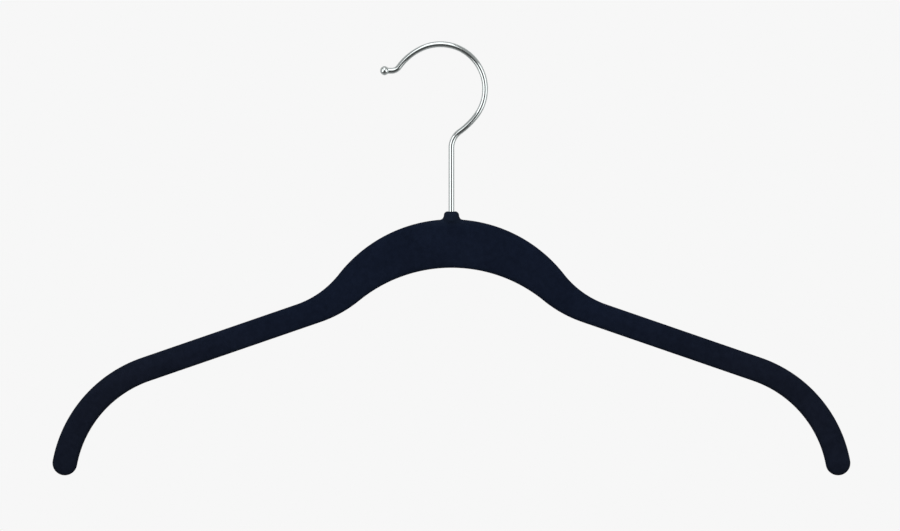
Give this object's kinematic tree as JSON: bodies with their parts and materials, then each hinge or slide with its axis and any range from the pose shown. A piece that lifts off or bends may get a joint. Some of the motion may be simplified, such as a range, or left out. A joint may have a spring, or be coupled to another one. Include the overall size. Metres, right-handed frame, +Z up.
{
  "type": "clothes hanger",
  "caption": "Slim flocked shirt hanger with arched crown, sloping arms with down-turned tips, and a swivelling chrome hook with a ball tip.",
  "frame": {"origin": "inside top of the hook's bend, the point that rests on a rail", "axes": "+X along the hanger's width, with the hook opening towards -X; +Y from the front face to the rear face; +Z up"},
  "size_m": [0.445, 0.0084, 0.242],
  "materials": {
    "velvet": "matte",
    "moulded_plastic": "matte",
    "chrome": "polished"
  },
  "bodies": {
    "hook": {"hook": "chrome"},
    "body": {"front_shell": "moulded_plastic", "rear_shell": "moulded_plastic", "velvet_coat": "velvet"}
  },
  "joints": [
    {"name": "hook_swivel", "type": "hinge", "parent": "hook", "child": "body", "pos_m": [0.00613, 0, -0.1], "axis": [0, 0, 1], "continuous": true}
  ]
}
